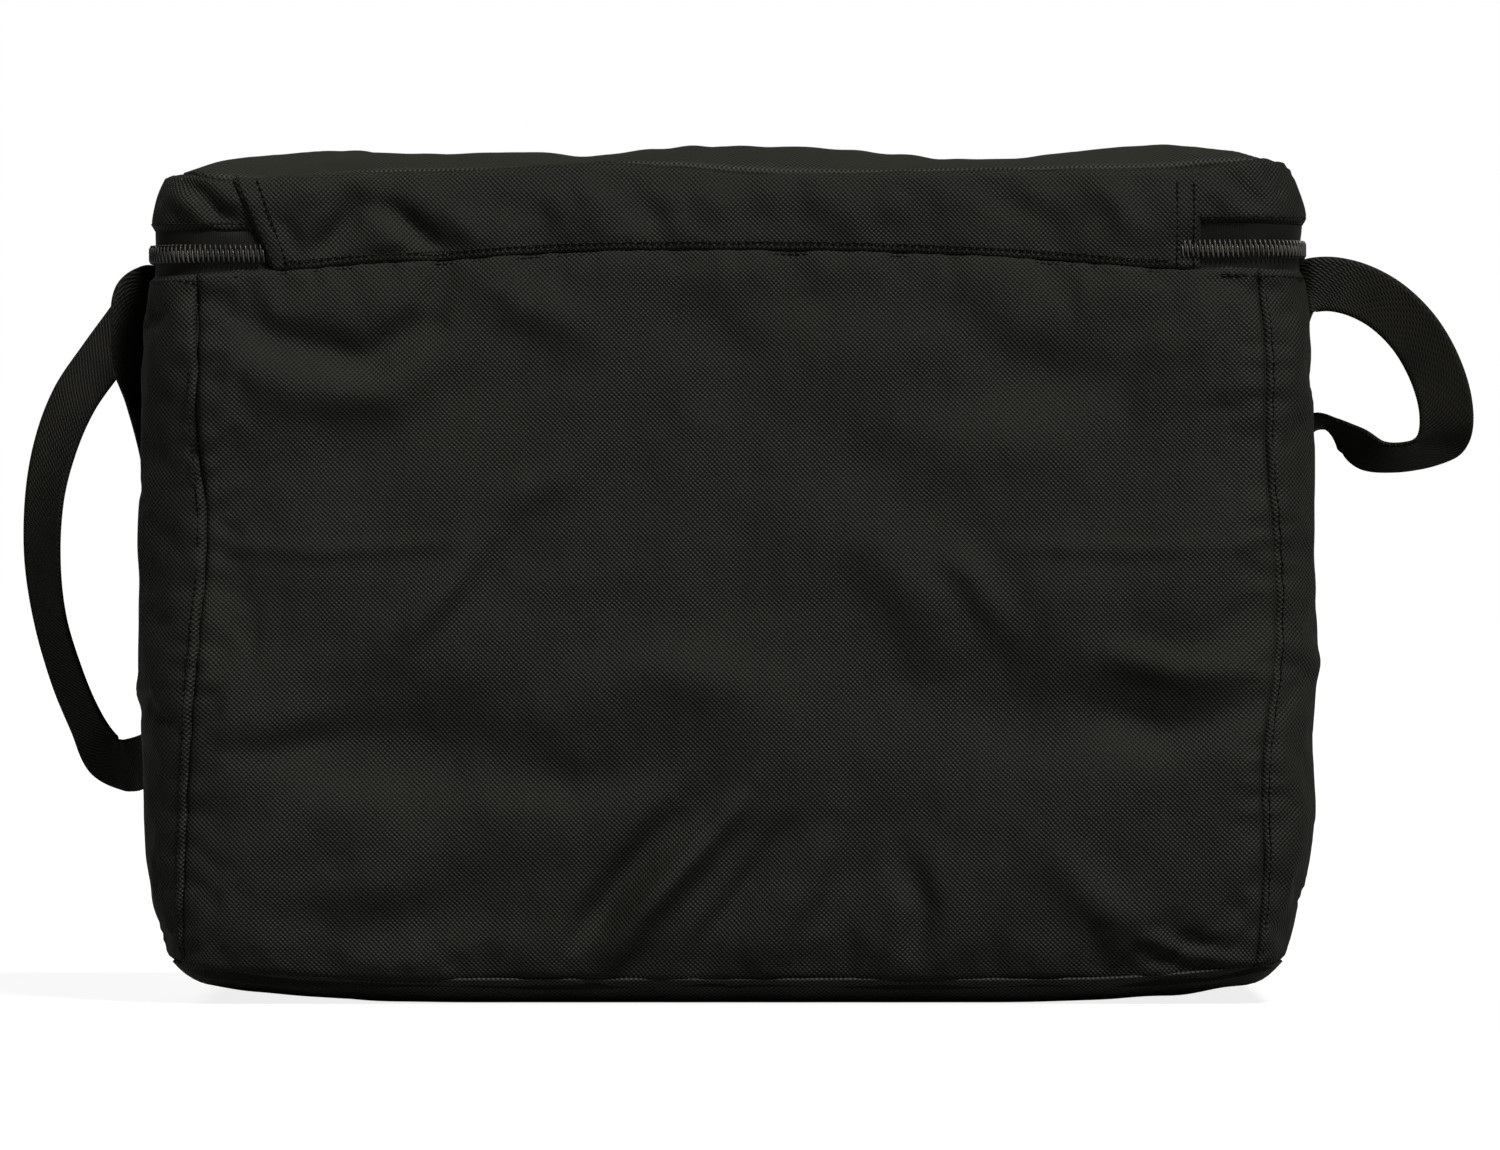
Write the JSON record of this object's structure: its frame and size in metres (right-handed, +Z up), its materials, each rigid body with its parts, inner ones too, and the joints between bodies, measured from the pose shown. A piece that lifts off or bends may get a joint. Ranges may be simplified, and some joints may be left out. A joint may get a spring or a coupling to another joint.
{
  "type": "insulated food carrier",
  "caption": "Soft black fabric carrier with foam walls, foil liner, a zipped lid hinged at the back and a long webbing handle on each side, for carrying hot or cold food pans.",
  "frame": {"origin": "middle of the flat base, at the surface it stands on", "axes": "+Z up, the back with the lid's hinge band faces -Y, the front with the zipper sliders faces +Y, +X to the right seen from the back"},
  "size_m": [0.6823, 0.3522, 0.404],
  "materials": {
    "shell_fabric": "coarse basket-weave polyester with a slight sheen",
    "webbing": "ribbed flat polyester webbing",
    "binding": "bias tape",
    "zipper_tape": "fine twill tape",
    "zipper_coil": "moulded coil, satin",
    "zip_hardware": "black enamel, worn a little at its edges",
    "insulation_foam": "closed-cell foam",
    "foil": "crinkled bright film",
    "stiffener": "grained board"
  },
  "bodies": {
    "tub": {"bottom_panel": "shell_fabric", "base_board": "stiffener", "foam_base": "insulation_foam", "front_panel": "shell_fabric", "back_panel": "shell_fabric", "left_side_panel": "shell_fabric", "right_side_panel": "shell_fabric", "foam_back": "insulation_foam", "foam_front": "insulation_foam", "foam_left": "insulation_foam", "foam_right": "insulation_foam", "foil_liner": "foil", "mouth_binding": "binding", "zipper_tape_lower": "zipper_tape", "zipper_coil_lower": "zipper_coil", "left_handle_rear_anchor": "webbing", "left_handle_front_anchor": "webbing", "right_handle_rear_anchor": "webbing", "right_handle_front_anchor": "webbing"},
    "lid": {"lid_rear_band": "shell_fabric", "lid_front_gusset": "shell_fabric", "lid_left_gusset": "shell_fabric", "lid_right_gusset": "shell_fabric", "lid_top_panel": "shell_fabric", "lid_foam": "insulation_foam", "lid_foil_liner": "foil", "zipper_tape_upper": "zipper_tape", "zipper_coil_upper": "zipper_coil"},
    "left_zip_slider": {"zip_slider_left": "zip_hardware"},
    "left_zip_pull": {"zip_pull_left": "zip_hardware"},
    "right_zip_slider": {"zip_slider_right": "zip_hardware"},
    "right_zip_pull": {"zip_pull_right": "zip_hardware"},
    "left_handle_loop": {"left_handle": "webbing"},
    "right_handle_loop": {"right_handle": "webbing"}
  },
  "joints": [
    {"name": "lid_hinge", "type": "hinge", "parent": "tub", "child": "lid", "pos_m": [0, -0.1736, 0.353], "axis": [1, 0, 0], "range_deg": [0, 165]},
    {"name": "left_slider_travel", "type": "slide", "parent": "tub", "child": "left_zip_slider", "axis": [-1, 0, 0], "range_m": [0, 0.205]},
    {"name": "right_slider_travel", "type": "slide", "parent": "tub", "child": "right_zip_slider", "axis": [1, 0, 0], "range_m": [0, 0.205]},
    {"name": "left_pull_swing", "type": "hinge", "parent": "left_zip_slider", "child": "left_zip_pull", "pos_m": [-0.012, 0.176, 0.353], "axis": [0, 0, -1], "range_deg": [0, 110]},
    {"name": "right_pull_swing", "type": "hinge", "parent": "right_zip_slider", "child": "right_zip_pull", "pos_m": [0.012, 0.176, 0.353], "axis": [0, 0, 1], "range_deg": [0, 110]},
    {"name": "left_handle_swing", "type": "hinge", "parent": "tub", "child": "left_handle_loop", "pos_m": [-0.2728, 0, 0.352], "axis": [0, 1, 0], "range_deg": [0, 120]},
    {"name": "right_handle_swing", "type": "hinge", "parent": "tub", "child": "right_handle_loop", "pos_m": [0.2728, 0, 0.352], "axis": [0, -1, 0], "range_deg": [0, 95]}
  ]
}
